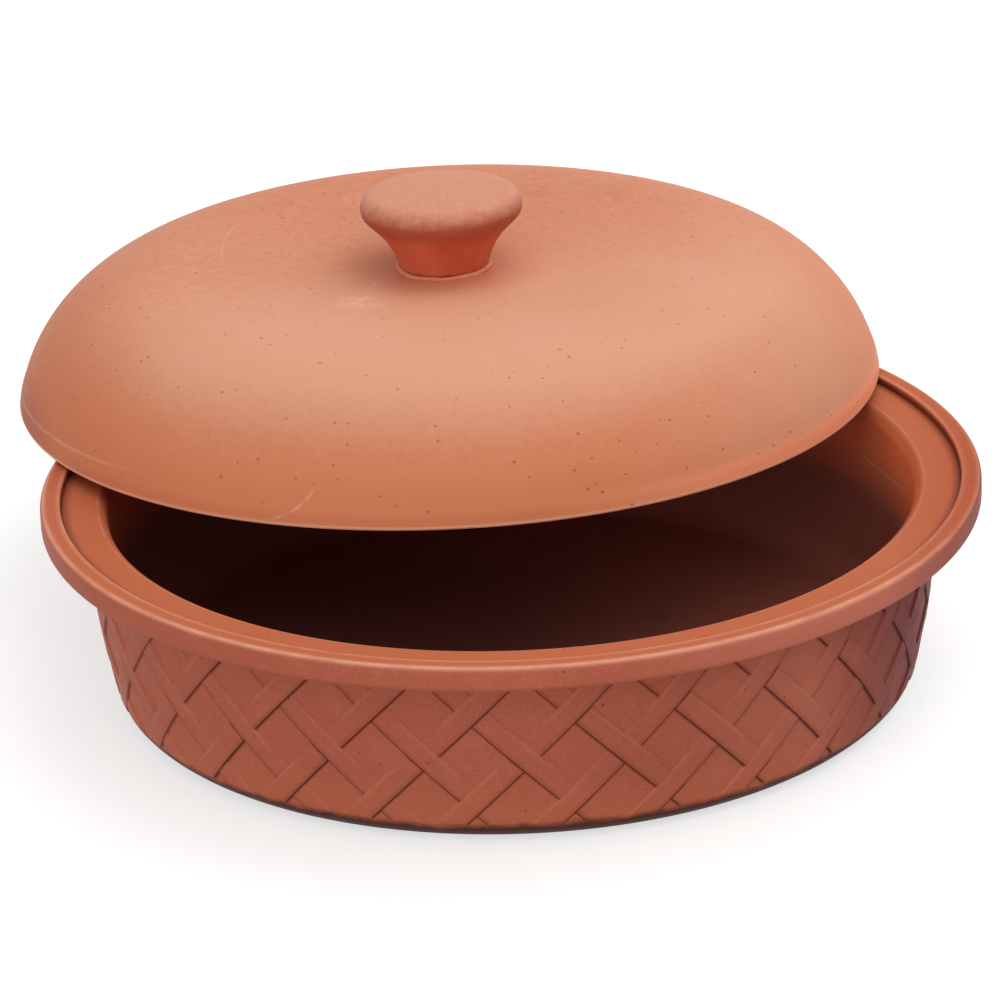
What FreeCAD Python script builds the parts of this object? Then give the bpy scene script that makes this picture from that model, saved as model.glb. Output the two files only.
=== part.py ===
"""Terracotta tortilla warmer: a round dish with a woven relief and a domed lid with a knob.

All sizes are in millimetres. The origin is the centre of the dish's foot, +Z is up, and the
lid is drawn back along +Y, so that the whole object is symmetrical about the YZ plane apart
from the weave. The lid rests ajar on the lip of the dish, tipped a little up at its front.
"""
import FreeCAD, Part
import math
import os

FLAT_SAG = 0.15             # how far the short flats of a turned curve may fall inside it

# ---- Dish ----
DISH_HEIGHT = 58.0          # foot to the top of the lip
RIM_RADIUS = 127.0          # outside of the flange
LIP_WIDTH = 5.5             # flat top of the lip, round the outside of the lid's seat
LIP_ROUNDING = 1.6          # upper and lower outside corners of the flange
FLANGE_DEPTH = 6.9          # height of the flange's outside band
SEAT_DEPTH = 1.9            # how far the lid's seat lies below the lip
SEAT_WIDTH = 9.0            # flat ledge that the closed lid stands on
SEAT_ROUNDING = 3.5         # rounded shoulder from the ledge into the dish
FLANGE_OVERHANG = 12.8      # how far the flange stands out from the wall below it
WALL_TAPER = 6.0            # how much smaller the wall's radius is at its foot
WALL_BULGE = 1.5            # how far the wall's middle stands out from a straight line
WALL_THICKNESS = 5.4
FLOOR_THICKNESS = 6.5
FLOOR_ROUNDING = 10.0       # inside corner between floor and wall
FOOT_CORNER = 8.2           # width of the rounded corner round the flat foot
FOOT_HEIGHT = 4.2           # height of that corner

# ---- Woven relief on the dish's wall ----
STRIPS_PER_WAY = 27         # strips leaning to the left, and as many to the right
STRIP_WIDTH = 6.0
STRIP_RELIEF = 1.0          # how far the strips stand out from the wall
STRIP_LEAN = 44.0           # degrees from upright
STRIP_GROOVE = 0.5          # gap where a strip dives under the one that crosses it
STRIP_ROOT = 0.8            # how deep a strip is rooted in the wall
WEAVE_START = 5.2           # height at which the relief begins
WEAVE_MIDDLE = 26.9         # height of the middle row of crossings
WEAVE_PHASE = 1.7           # degrees that the weave is turned about the dish's axis

# ---- Lid ----
SEAT_CLEARANCE = 1.0        # gap all round between the closed lid and the lip
LID_THICKNESS = 6.5
LID_BAND_HEIGHT = 4.5       # upright band round the lid's edge
LID_BAND_STEP = 0.4         # fine ledge where the band meets the dome
LID_BAND_DRAFT = 0.5        # how much the band leans in over its height
LID_EDGE_ROUNDING = 0.9
SHOULDER_RADIUS = 44.0      # the dome's shoulder, seen in section
SHOULDER_START = 74.6       # degrees from upright of the shoulder's normal at the band
CROWN_FALL = 3.0            # degrees at which the top falls from the shoulder to its middle
KNOB_PAD_RADIUS = 16.0      # flat middle of the top, where the knob stands

# ---- Knob ----
KNOB_RADIUS = 22.7
KNOB_HEIGHT = 23.0
KNOB_CROWN = 0.9            # how far the cap's middle rises over its rounded edge
KNOB_EDGE_RADIUS = 4.3      # rounded edge of the cap
KNOB_FOOT_RADIUS = 12.4
KNOB_NECK_INSET = 4.0       # from the cap's edge to where the hollow stem runs out under it
KNOB_FLARE = 45.0           # degrees at which the cap's underside rises
SLIP_BEAD_WIDTH = 1.5
SLIP_BEAD_HEIGHT = 1.2

# ---- How the lid lies on the dish ----
LID_BACK = 76.0             # how far the lid is drawn back along +Y
LID_TIP = 2.32              # degrees that its front is raised
REST_GAP = 0.2              # height of the lid's edge over the lip where they cross

AXIS_START = FreeCAD.Vector(0, 0, 0)
UP = FreeCAD.Vector(0, 0, 1)


# ---- Sketching in the XZ plane ----
def at(radius, height):
    """A point of a section: its distance from the axis and its height."""
    return FreeCAD.Vector(radius, 0, height)


def line(start, end):
    return Part.LineSegment(start, end).toShape()


def on_circle(centre, radius, angle):
    turn = math.radians(angle)
    return centre + radius * FreeCAD.Vector(math.cos(turn), 0, math.sin(turn))


def heading(start, end):
    """The direction from one point to another, in degrees from +X towards +Z."""
    return math.degrees(math.atan2(end.z - start.z, end.x - start.x))


def bow(start, end, turn):
    """Short flats from start to end along an arc that turns by so many degrees, + to the left."""
    half_turn = math.radians(turn / 2)
    chord = end - start
    radius = chord.Length / 2 / math.sin(abs(half_turn))
    sag = min(FLAT_SAG, radius)
    flats = max(2, math.ceil(abs(half_turn) / math.acos(1 - sag / radius)))
    across = FreeCAD.Vector(-chord.z, 0, chord.x)
    centre = (start + end) / 2 + across / (2 * math.tan(half_turn))
    first = heading(centre, start)
    points = [on_circle(centre, radius, first + turn * step / flats) for step in range(1, flats)]
    corners = [start] + points + [end]
    return [line(*pair) for pair in zip(corners, corners[1:])]


def round_bow(centre, radius, start_angle, end_angle):
    """A bow that runs round a centre. Angles are degrees from +X towards +Z."""
    start = on_circle(centre, radius, start_angle)
    return bow(start, on_circle(centre, radius, end_angle), end_angle - start_angle)


def revolve(outline):
    """A solid turned about the Z axis from a closed outline of lines and bows."""
    edges = []
    for piece in outline:
        edges.extend(piece if isinstance(piece, list) else [piece])
    return Part.Face(Part.Wire(edges)).revolve(AXIS_START, UP, 360)


# ---- The dish's wall, which leans out in two steps ----
def wall_middle():
    """Height of the wall's belly, where its two steps meet."""
    return (FOOT_HEIGHT + DISH_HEIGHT - FLANGE_DEPTH) / 2


def wall_point(height, stand_off):
    """The point of the wall's outside at a height, moved out by stand_off."""
    share = (height - FOOT_HEIGHT) / (DISH_HEIGHT - FLANGE_DEPTH - FOOT_HEIGHT)
    bulge = 2 * WALL_BULGE * min(share, 1 - share)
    return at(RIM_RADIUS - FLANGE_OVERHANG - WALL_TAPER * (1 - share) + bulge + stand_off, height)


def wall_line(start, end, stand_off):
    """The wall's line from one height to another, past its belly, moved out by stand_off."""
    corners = [wall_point(height, stand_off) for height in (start, wall_middle(), end)]
    return [line(*pair) for pair in zip(corners, corners[1:])]


# ---- Dish ----
def dish_body():
    """The plain dish: foot, wall, flange, lip and lid seat, turned about the axis."""
    flange_bottom = DISH_HEIGHT - FLANGE_DEPTH
    seat_height = DISH_HEIGHT - SEAT_DEPTH
    lip_inside = RIM_RADIUS - LIP_WIDTH
    ledge_inside = lip_inside - SEAT_WIDTH
    throat = ledge_inside - SEAT_ROUNDING
    rim_side = RIM_RADIUS - LIP_ROUNDING

    foot_top = wall_point(FOOT_HEIGHT, 0)
    foot_edge = at(foot_top.x - FOOT_CORNER, 0)
    wall_top = wall_point(flange_bottom, 0)
    wall_lean = 90 - heading(foot_top, wall_point(wall_middle(), 0))
    corner_height = FLOOR_THICKNESS + FLOOR_ROUNDING
    corner_reach = FLOOR_ROUNDING / math.cos(math.radians(wall_lean))
    corner_centre = wall_point(corner_height, -WALL_THICKNESS - corner_reach)
    corner_top = on_circle(corner_centre, FLOOR_ROUNDING, -wall_lean)
    throat_low = at(throat, seat_height - SEAT_ROUNDING)

    outline = [
        line(at(0, 0), foot_edge),
        bow(foot_edge, foot_top, 2 * heading(foot_edge, foot_top)),
        wall_line(FOOT_HEIGHT, flange_bottom, 0),
        line(wall_top, at(rim_side, flange_bottom)),
        round_bow(at(rim_side, flange_bottom + LIP_ROUNDING), LIP_ROUNDING, -90, 0),
        line(at(RIM_RADIUS, flange_bottom + LIP_ROUNDING), at(RIM_RADIUS, DISH_HEIGHT - LIP_ROUNDING)),
        round_bow(at(rim_side, DISH_HEIGHT - LIP_ROUNDING), LIP_ROUNDING, 0, 90),
        line(at(rim_side, DISH_HEIGHT), at(lip_inside, DISH_HEIGHT)),
        line(at(lip_inside, DISH_HEIGHT), at(lip_inside, seat_height)),
        line(at(lip_inside, seat_height), at(ledge_inside, seat_height)),
        round_bow(at(ledge_inside, seat_height - SEAT_ROUNDING), SEAT_ROUNDING, 90, 180),
        line(throat_low, wall_point(wall_middle(), -WALL_THICKNESS)),
        line(wall_point(wall_middle(), -WALL_THICKNESS), corner_top),
        round_bow(corner_centre, FLOOR_ROUNDING, -wall_lean, -90),
        line(at(corner_centre.x, FLOOR_THICKNESS), at(0, FLOOR_THICKNESS)),
        line(at(0, FLOOR_THICKNESS), at(0, 0)),
    ]
    return revolve(outline)


def relief_layer():
    """The layer round the wall that the strips are cut from, up into the flange."""
    top = DISH_HEIGHT - FLANGE_DEPTH / 2
    outline = [
        wall_line(WEAVE_START, top, -STRIP_ROOT),
        line(wall_point(top, -STRIP_ROOT), wall_point(top, STRIP_RELIEF)),
        wall_line(top, WEAVE_START, STRIP_RELIEF),
        line(wall_point(WEAVE_START, STRIP_RELIEF), wall_point(WEAVE_START, -STRIP_ROOT)),
    ]
    return revolve(outline)


def strip(start, end, lean):
    """A straight bar through the wall at azimuth 0 (-Y), from start to end along the strip.

    Distances are measured from the middle crossing, upwards, and lean is degrees from upright.
    """
    reach = FLANGE_OVERHANG + WALL_TAPER
    bar = Part.makeBox(STRIP_WIDTH, 2 * reach, end - start)
    bar.translate(FreeCAD.Vector(-STRIP_WIDTH / 2, -wall_point(wall_middle(), 0).x - reach, start))
    bar.rotate(AXIS_START, FreeCAD.Vector(0, 1, 0), lean)
    bar.translate(FreeCAD.Vector(0, 0, WEAVE_MIDDLE))
    return bar


def weave_cell():
    """The strips that cross at one place of the middle row.

    There the strip that leans left lies on top. In the rows above and below, it dives under
    the strips that lean right. A strip that dives stops a fine groove short of the one above.
    """
    belly_radius = wall_point(wall_middle(), 0).x
    pitch = 2 * math.pi * belly_radius / STRIPS_PER_WAY
    lean = math.radians(STRIP_LEAN)
    next_crossing = pitch / 2 / math.sin(lean)
    clear = STRIP_WIDTH / 2 / math.sin(2 * lean) + STRIP_GROOVE
    beyond = DISH_HEIGHT / math.cos(lean)
    pieces = [
        strip(-next_crossing + clear, next_crossing - clear, -STRIP_LEAN),
        strip(next_crossing + clear, beyond, -STRIP_LEAN),
        strip(-beyond, -next_crossing - clear, -STRIP_LEAN),
        strip(clear, beyond, STRIP_LEAN),
        strip(-beyond, -clear, STRIP_LEAN),
    ]
    layer = relief_layer()
    layer.rotate(AXIS_START, UP, 90)
    return [solid for piece in pieces for solid in layer.common(piece).Solids if solid.CenterOfMass.y < 0]


def make_dish():
    """The dish with its woven relief, as one solid."""
    weave = []
    cell = weave_cell()
    for number in range(STRIPS_PER_WAY):
        turn = WEAVE_PHASE + number * 360.0 / STRIPS_PER_WAY
        for piece in cell:
            copy = piece.copy()
            copy.rotate(AXIS_START, UP, turn)
            weave.append(copy)
    return dish_body().fuse(weave).Solids[0]


# ---- Lid, drawn closed and level with its edge at height 0 ----
def lid_radius():
    return RIM_RADIUS - LIP_WIDTH - SEAT_CLEARANCE


def shoulder_centre():
    """Centre of the shoulder's arc, which starts at the top of the lid's band."""
    turn = math.radians(SHOULDER_START)
    start = lid_radius() - LID_BAND_DRAFT - LID_BAND_STEP
    return at(start - SHOULDER_RADIUS * math.sin(turn), LID_BAND_HEIGHT - SHOULDER_RADIUS * math.cos(turn))


def crown(radius):
    """The dome's line from the shoulder's end to the flat pad, for an arc of this radius."""
    shoulder_end = on_circle(shoulder_centre(), radius, 90 + CROWN_FALL)
    fall = (shoulder_end.x - KNOB_PAD_RADIUS) * math.tan(math.radians(CROWN_FALL))
    return shoulder_end, at(KNOB_PAD_RADIUS, shoulder_end.z - fall)


def lid_inside_radius():
    """Inside radius of the lid's edge, where the shoulder's inner arc meets height 0."""
    centre = shoulder_centre()
    return centre.x + math.sqrt((SHOULDER_RADIUS - LID_THICKNESS) ** 2 - centre.z ** 2)


def make_lid_dome():
    centre = shoulder_centre()
    edge = lid_radius()
    inner_radius = SHOULDER_RADIUS - LID_THICKNESS
    inner_start = math.degrees(math.asin(-centre.z / inner_radius))
    outer_end, outer_pad = crown(SHOULDER_RADIUS)
    inner_end, inner_pad = crown(inner_radius)
    band_top = at(edge - LID_BAND_DRAFT, LID_BAND_HEIGHT)
    outline = [
        line(at(lid_inside_radius(), 0), at(edge - LID_EDGE_ROUNDING, 0)),
        round_bow(at(edge - LID_EDGE_ROUNDING, LID_EDGE_ROUNDING), LID_EDGE_ROUNDING, -90, 0),
        line(at(edge, LID_EDGE_ROUNDING), band_top),
        line(band_top, on_circle(centre, SHOULDER_RADIUS, 90 - SHOULDER_START)),
        round_bow(centre, SHOULDER_RADIUS, 90 - SHOULDER_START, 90 + CROWN_FALL),
        line(outer_end, outer_pad),
        line(outer_pad, at(0, outer_pad.z)),
        line(at(0, outer_pad.z), at(0, inner_pad.z)),
        line(at(0, inner_pad.z), inner_pad),
        line(inner_pad, inner_end),
        round_bow(centre, inner_radius, 90 + CROWN_FALL, inner_start),
    ]
    return revolve(outline)


def make_knob():
    """The knob: a hollow-sided stem that flares into a soft-edged, slightly crowned cap."""
    foot = crown(SHOULDER_RADIUS)[1].z
    crown_top = at(0, foot + KNOB_HEIGHT)
    edge_centre = at(KNOB_RADIUS - KNOB_EDGE_RADIUS, crown_top.z - KNOB_CROWN - KNOB_EDGE_RADIUS)
    under_cap = on_circle(edge_centre, KNOB_EDGE_RADIUS, KNOB_FLARE - 90)
    neck_radius = KNOB_RADIUS - KNOB_NECK_INSET
    fall = (under_cap.x - neck_radius) * math.tan(math.radians(KNOB_FLARE))
    neck = at(neck_radius, under_cap.z - fall)
    stem_foot = at(KNOB_FOOT_RADIUS, foot)
    crown_lean = math.degrees(math.atan2(KNOB_CROWN, edge_centre.x))
    cap_edge = on_circle(edge_centre, KNOB_EDGE_RADIUS, 90 - crown_lean)
    outline = [
        line(at(0, foot), stem_foot),
        bow(stem_foot, neck, 2 * (KNOB_FLARE - heading(stem_foot, neck))),
        line(neck, under_cap),
        round_bow(edge_centre, KNOB_EDGE_RADIUS, KNOB_FLARE - 90, 90 - crown_lean),
        bow(cap_edge, crown_top, 2 * crown_lean),
        line(crown_top, at(0, foot)),
    ]
    return revolve(outline)


def make_slip_bead(knob):
    """The ring of slip round the knob's foot, shaped to the stem that it was squeezed from."""
    foot = crown(SHOULDER_RADIUS)[1].z
    outside = KNOB_FOOT_RADIUS + SLIP_BEAD_WIDTH
    inside = KNOB_FOOT_RADIUS - SLIP_BEAD_WIDTH
    top = at(KNOB_FOOT_RADIUS, foot + SLIP_BEAD_HEIGHT)
    outline = [
        line(at(inside, foot), at(outside, foot)),
        bow(at(outside, foot), top, 90),
        line(top, at(inside, top.z)),
        line(at(inside, top.z), at(inside, foot)),
    ]
    return revolve(outline).cut(knob)


# ---- The lid's place on the dish ----
def lay_on_dish(shape):
    """Tip a piece of the lid, draw it back and lift it until the lid's edge meets the lip.

    The lid's inside edge crosses the lip's outside edge at touch, measured along +Y.
    """
    tip = math.radians(LID_TIP)
    touch = (LID_BACK ** 2 + RIM_RADIUS ** 2 - lid_inside_radius() ** 2) / (2 * LID_BACK)
    height = DISH_HEIGHT + REST_GAP - (LID_BACK - touch) * math.tan(tip)
    placed = shape.copy()
    placed.rotate(AXIS_START, FreeCAD.Vector(1, 0, 0), -LID_TIP)
    placed.translate(FreeCAD.Vector(0, LID_BACK, height))
    return placed


def main():
    knob = make_knob()
    pieces = {
        "dish": make_dish(),
        "lid_dome": lay_on_dish(make_lid_dome()),
        "lid_knob": lay_on_dish(knob),
        "knob_slip_bead": lay_on_dish(make_slip_bead(knob)),
    }
    os.makedirs("parts", exist_ok=True)
    for name, shape in pieces.items():
        shape.exportStep("parts/" + name + ".step")
        print(name, "volume", round(shape.Volume), "valid", shape.isValid(), "solids", len(shape.Solids))


main()
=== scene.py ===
"""A terracotta tortilla warmer: a dish with a woven relief, and a domed lid with a knob, lying ajar.

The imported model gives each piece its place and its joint. Each of the four pieces is drawn again
here as one closed skin, worked out in millimetres with numpy, and stands for its solid. Tones are
linear red, green and blue, and materials measure in metres.
"""
import bmesh
import bpy
import math
import numpy as np
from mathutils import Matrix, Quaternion, Vector


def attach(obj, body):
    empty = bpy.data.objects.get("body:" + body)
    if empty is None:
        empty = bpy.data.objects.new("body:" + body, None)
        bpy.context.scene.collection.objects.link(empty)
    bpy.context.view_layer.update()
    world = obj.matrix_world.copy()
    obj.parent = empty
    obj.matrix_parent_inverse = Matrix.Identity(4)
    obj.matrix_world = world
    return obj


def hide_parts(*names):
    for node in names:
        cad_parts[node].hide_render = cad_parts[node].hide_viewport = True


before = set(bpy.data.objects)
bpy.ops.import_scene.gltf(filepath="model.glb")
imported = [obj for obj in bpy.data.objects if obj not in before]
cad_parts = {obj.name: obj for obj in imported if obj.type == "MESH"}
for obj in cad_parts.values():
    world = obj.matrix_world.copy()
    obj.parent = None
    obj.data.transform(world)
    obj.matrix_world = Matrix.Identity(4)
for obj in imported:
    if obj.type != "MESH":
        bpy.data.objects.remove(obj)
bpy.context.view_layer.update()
scene = bpy.context.scene

# ---- Camera: a long lens, a little to the left of the front and looking down, slightly rolled.
# ---- Its place and aim are in metres, its roll in radians and its lens in millimetres.
EYE = Vector((-0.3411, -1.5863, 0.72535))
AIM = Vector((0.00088, 0.01839, 0.04374))
ROLL = -0.03765
LENS = 234.0

camera = bpy.data.objects.new("camera", bpy.data.cameras.new("camera"))
camera.data.lens = LENS
camera.location = EYE
camera.rotation_mode = "QUATERNION"
camera.rotation_quaternion = (AIM - EYE).to_track_quat("-Z", "Y") @ Quaternion((0, 0, 1), ROLL)
scene.collection.objects.link(camera)
scene.camera = camera
scene.view_settings.view_transform = "Standard"

# ---- Light: a white room with three soft lamps above, behind and beside, and a low one at the left.
# ---- The camera, gloss and glass see the room as plain white; it lights the object at half of that.
# Each lamp has a name, a place and a side in metres, and its power in watts.
LAMPS = [
    ("lamp_behind", (0.35, 0.7, 1.3), 1.8, 5.2),
    ("lamp_above_front", (0.0, -1.0, 1.3), 1.2, 5.4),
    ("lamp_above_right", (0.75, 0.1, 1.4), 1.8, 11.6),
    ("lamp_low_left", (-1.4, -1.4, 0.35), 1.0, 10.0),
]
ROOM_WHITE = (1.0, 1.0, 1.0, 1.0)
ROOM_LIGHT = 0.5
ROOM_SEEN = 1.0


def lamp(name, place, size, watts):
    """A square soft lamp that looks at the middle of the object."""
    light = bpy.data.lights.new(name, "AREA")
    light.size = size
    light.energy = watts
    made = bpy.data.objects.new(name, light)
    made.location = place
    made.rotation_mode = "QUATERNION"
    made.rotation_quaternion = (AIM - Vector(place)).to_track_quat("-Z", "Y")
    scene.collection.objects.link(made)


def wire(tree, kind, inputs=None, **fields):
    """Add a shader node: its fields are set, and its sockets get numbers or other sockets."""
    made = tree.nodes.new(kind)
    for field, value in fields.items():
        setattr(made, field, value)
    for socket, value in (inputs or {}).items():
        if isinstance(value, bpy.types.NodeSocket):
            tree.links.new(value, made.inputs[socket])
        else:
            made.inputs[socket].default_value = value
    return made


def seen_white(tree):
    """One for rays that see the surface itself, by eye, in gloss or through glass, and else none."""
    rays = wire(tree, "ShaderNodeLightPath").outputs
    sight = {0: rays["Is Camera Ray"], 1: rays["Is Glossy Ray"]}
    seen = wire(tree, "ShaderNodeMath", sight, operation="MAXIMUM")
    ends = {0: seen.outputs[0], 1: rays["Is Transmission Ray"]}
    return wire(tree, "ShaderNodeMath", ends, operation="MAXIMUM").outputs[0]


for name, place, size, watts in LAMPS:
    lamp(name, place, size, watts)

world = bpy.data.worlds.new("room")
scene.world = world
world.use_nodes = True
tree = world.node_tree
background = tree.nodes["Background"]
background.inputs["Color"].default_value = ROOM_WHITE
levels = {"Value": seen_white(tree), "To Min": ROOM_LIGHT, "To Max": ROOM_SEEN}
strength = wire(tree, "ShaderNodeMapRange", levels)
tree.links.new(strength.outputs["Result"], background.inputs["Strength"])

# ---- Floor: a wide sheet of white paper. The camera sees it white, by a faint glow that adds to the
# ---- light it scatters, and it keeps the object's shadow.
FLOOR_REACH = 5
PAPER = (0.5, 0.497, 0.494, 1.0)
PAPER_GLOW = 0.63

corners = [(-FLOOR_REACH, -FLOOR_REACH, 0), (FLOOR_REACH, -FLOOR_REACH, 0),
           (FLOOR_REACH, FLOOR_REACH, 0), (-FLOOR_REACH, FLOOR_REACH, 0)]
floor_mesh = bpy.data.meshes.new("floor")
floor_mesh.from_pydata(corners, [], [(0, 1, 2, 3)])
floor = bpy.data.objects.new("floor", floor_mesh)
scene.collection.objects.link(floor)

paper = bpy.data.materials.new("white_paper")
paper.use_nodes = True
tree = paper.node_tree
tree.nodes.clear()
glow = wire(tree, "ShaderNodeMath", {0: seen_white(tree), 1: PAPER_GLOW}, operation="MULTIPLY").outputs[0]
shadow_side = wire(tree, "ShaderNodeBsdfDiffuse", {"Color": PAPER})
lit_side = wire(tree, "ShaderNodeEmission", {"Strength": glow})
both = wire(tree, "ShaderNodeAddShader", {0: shadow_side.outputs[0], 1: lit_side.outputs[0]})
wire(tree, "ShaderNodeOutputMaterial", {"Surface": both.outputs[0]})
floor_mesh.materials.append(paper)

# ---- Dish: slip-cast terracotta, with a wide flange, a recessed seat for the lid, and strips that
# ---- weave over and under each other in low relief, pressed by the mould all round the wall.
DISH_HEIGHT = 58.0
RIM_RADIUS = 127.0
LIP_WIDTH = 5.5
LIP_ROUNDING = 1.6
LIP_INNER_ROUNDING = 0.5
LIP_TOP = DISH_HEIGHT - 0.3
FLANGE_DEPTH = 6.9
SEAT_DEPTH = 1.9
SEAT_WIDTH = 9.0
SEAT_CORNER = 0.4
SEAT_ROUNDING = 3.5
WALL_TOP_RADIUS = 114.2
WALL_TAPER = 6.0
WALL_BULGE = 1.5
WALL_THICKNESS = 5.4
FLOOR_THICKNESS = 6.5
FLOOR_ROUNDING = 10.0
FOOT_RADIUS = 100.0
FOOT_HEIGHT = 4.2
FLANGE_BOTTOM = DISH_HEIGHT - FLANGE_DEPTH
KILN_DRAW = 0.0005

# The mesh: columns round the axis, and how close its rings lie to an edge, so that it stays crisp.
COLUMNS = 320
WELL_ROWS = 16
RING_GAP = 0.4
HEM = 0.5
RING_STEP = 1.5
FOOT_RING = 1.0

# The weave. A strip's sides are given by distances from its middle, which are lines of its net. The
# third is the strip's own edge and the fourth the foot of its side.
STRIPS_PER_WAY = 27
STRIP_WIDTH = 6.0
STRIP_RELIEF = 0.55
STRIP_LEAN = 44.0
SURROUND = [3.3, 3.8, 5.2, 7.2]
STEEP_SIDE = [1.5, 2.85, STRIP_WIDTH / 2, 3.08, *SURROUND]
SOFT_SIDE = [1.5, 2.6, 2.75, 3.15, *SURROUND]
DIVE_RUN = [3.3, 5.2, 7.2]
STEEP_DIVE = [0.4, 0.92, 0.97, 1]
SOFT_DIVE = [0.75, 0.92, 0.97, 1]
SWELL_RUN = [0, STRIP_WIDTH / 2, 7.2]
SWELL = [1.08, 1.05, 1]
# Painted shade along the crevice at the foot of each strip's steep side.
CREVICE_PLACE = 3.12
CREVICE_WIDTH = 0.22
CREVICE_SHARE = 0.85
# A painted highlight along each strip's edge, half as strong on its steep side.
STRIP_HIGHLIGHT_PLACE = 2.65
STRIP_HIGHLIGHT_WIDTH = 0.35
STRIP_HIGHLIGHT_STEEP = 0.5
WEAVE_START = 5.2
WEAVE_RUN_IN = 1.0
WEAVE_MIDDLE = 26.9
WEAVE_PHASE = 1.7
WEAVE_FADE = [FLANGE_BOTTOM - 5, FLANGE_BOTTOM - 1.5]
WEAVE_FADED = [1, 0.25]
NET_MARGIN = 9
CUT_TOLERANCE = 1e-3

# Tones, each followed by where it lies: a spread is a span, then the shares at its two ends. A
# noise is its waves to a metre, its detail and its roughness.
DISH_CLAY = (0.515, 0.137, 0.082)
DISH_CLAY_DEEP = (0.44, 0.112, 0.066)
DISH_CLOUDS = (14.0, 3.0)
CLOUD_SPREAD = (0.35, 0.7, 0.0, 0.8)
DISH_CLAY_PALE = (0.57, 0.172, 0.107)
DISH_MOTTLE = (110.0, 4.0, 0.6)
PALE_SPREAD = (0.5, 0.75, 0.0, 0.45)
DISH_GRAIN = (0.30, 0.070, 0.038)
DISH_GRAIN_NOISE = (1300.0, 2.0, 0.6)
GRAIN_SPREAD = (0.4, 0.7, 0.0, 0.3)
DRY_CLAY = (0.64, 0.200, 0.135)
DRY_SIDE = (0.707, -0.707, 0.0)
DRY_SPREAD = (0.09, 0.125, 0.0, 0.7)
MOUTH_CLAY = (0.47, 0.122, 0.046)
MOUTH_SHARE = 0.8
# Painted bounce light: a bright orange on the inner wall at the right, from just under the seat down.
INSIDE_BOUNCE_LIGHT = (0.90, 0.215, 0.088)
INSIDE_TOP = DISH_HEIGHT - SEAT_DEPTH - 1.0
INSIDE_FULL = DISH_HEIGHT - SEAT_DEPTH - 3.0
INSIDE_ACROSS = (0.0, 0.06)
# A pale tone for the painted highlights on the lip, the seat and the strips' edges, and for a scratch inside.
WEAR_AND_HIGHLIGHT_CLAY = (0.74, 0.36, 0.25)
HIGHLIGHT_MOTTLE_SPREAD = (0.3, 0.6, 0.5, 0.9)
STRIP_HIGHLIGHT_SHARE = 0.18
# A near black for the painted shade in the strips' crevices and the seat's step, and for the pits.
CREVICE_SHADE_AND_PITS = (0.085, 0.014, 0.010)
CREVICE_SPREAD = (0.092, 0.114, 1.0, 0.45)
SEAT_SHADE_REACH = 1.6
DISH_PITS = (255.0, 0.4, 0.06, 0.10)
PIT_SHARE = 0.6
# Painted shade deep in the well: darker downward from below the seat.
WELL_SHADE_CLAY = (0.090, 0.042, 0.046)
WELL_SHADE_TOP = 10
WELL_SHADE_RUN = 16
WELL_SHADE_SHARE = 0.8
# Painted bounce light: paler low on the outside wall.
LOW_WALL_BOUNCE_LIGHT = (0.68, 0.190, 0.100)
LOW_WALL_SPREAD = (0.003, 0.020, 0.6, 0.0)
# Painted shade on the right of the dish: over the outside wall, and farther right over the flange and the
# mouth too.
RIGHT_SHADE_CLAY = (0.15, 0.018, 0.022)
RIGHT_SHADE_MOUTH = (0.36, 0.062, 0.020)
RIGHT_SHADE_SIDE = (0.951, -0.309, 0.0)
RIGHT_SHADE_RAGGED = 0.006
RIGHT_SHADE_SPREAD = (0.088, 0.112)
RIGHT_SHADE_SHARE = 0.85
FAR_RIGHT_SHADE_SPREAD = (0.104, 0.127, 0.0, 0.7)
# A painted shade tint, cooler and paler than the clay, on the wall just under the flange.
UNDER_FLANGE_SHADE_TINT = (0.55, 0.180, 0.145)
UNDER_FLANGE_RUN = (0.0065, 0.001)
UNDER_FLANGE_SHARE = 0.6
# A painted shadow, nearly black, round the foot.
FOOT_SHADOW = (0.060, 0.028, 0.026)
FOOT_RAGGED = 0.004
FOOT_SPREAD = (0.0062, 0.0082, 0.9, 0.0)
SCUFF_WIDTH = 0.0005
SCUFF_FADE = 0.7
SPOT_SOFTNESS = 0.8
DISH_SCUFF = ((0.0551, 0.0086, 0.0985), 0.0782, (0.1074, 0.0099, 0.0416), 0.017)
DISH_SCUFF_SHARE = 0.45
DISH_GRAIN_HEIGHT = 0.3
SKIN_ROUGH = 0.0002
DISH_ROUGHNESS = (0.3, 0.7, 0.4, 0.5)
DISH_SPECULAR = 0.035


def wall(height):
    """Outside radius of the dish's wall at a height, a shallow parabola."""
    share = (height - FOOT_HEIGHT) / (FLANGE_BOTTOM - FOOT_HEIGHT)
    return WALL_TOP_RADIUS - WALL_TAPER * (1 - share) + 4 * WALL_BULGE * share * (1 - share)


def shrink(angle):
    """The share of its radius that a piece keeps in the kiln: it draws in twice round, by a thousandth."""
    return 1 - KILN_DRAW * (1 + np.sin(2 * angle + 0.7))


def turn(centre, radius, start, end, steps):
    """Points round a centre in section, from one angle to another in degrees."""
    angle = np.radians(np.linspace(start, end, steps + 1))
    return np.stack([centre[0] + radius * np.cos(angle), centre[1] + radius * np.sin(angle)], axis=1)


def run(start, end, steps):
    """Evenly spaced points in section between two points, without the last one."""
    share = np.arange(steps)[:, None] / steps
    return (1 - share) * np.array(start) + share * np.array(end)


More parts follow.
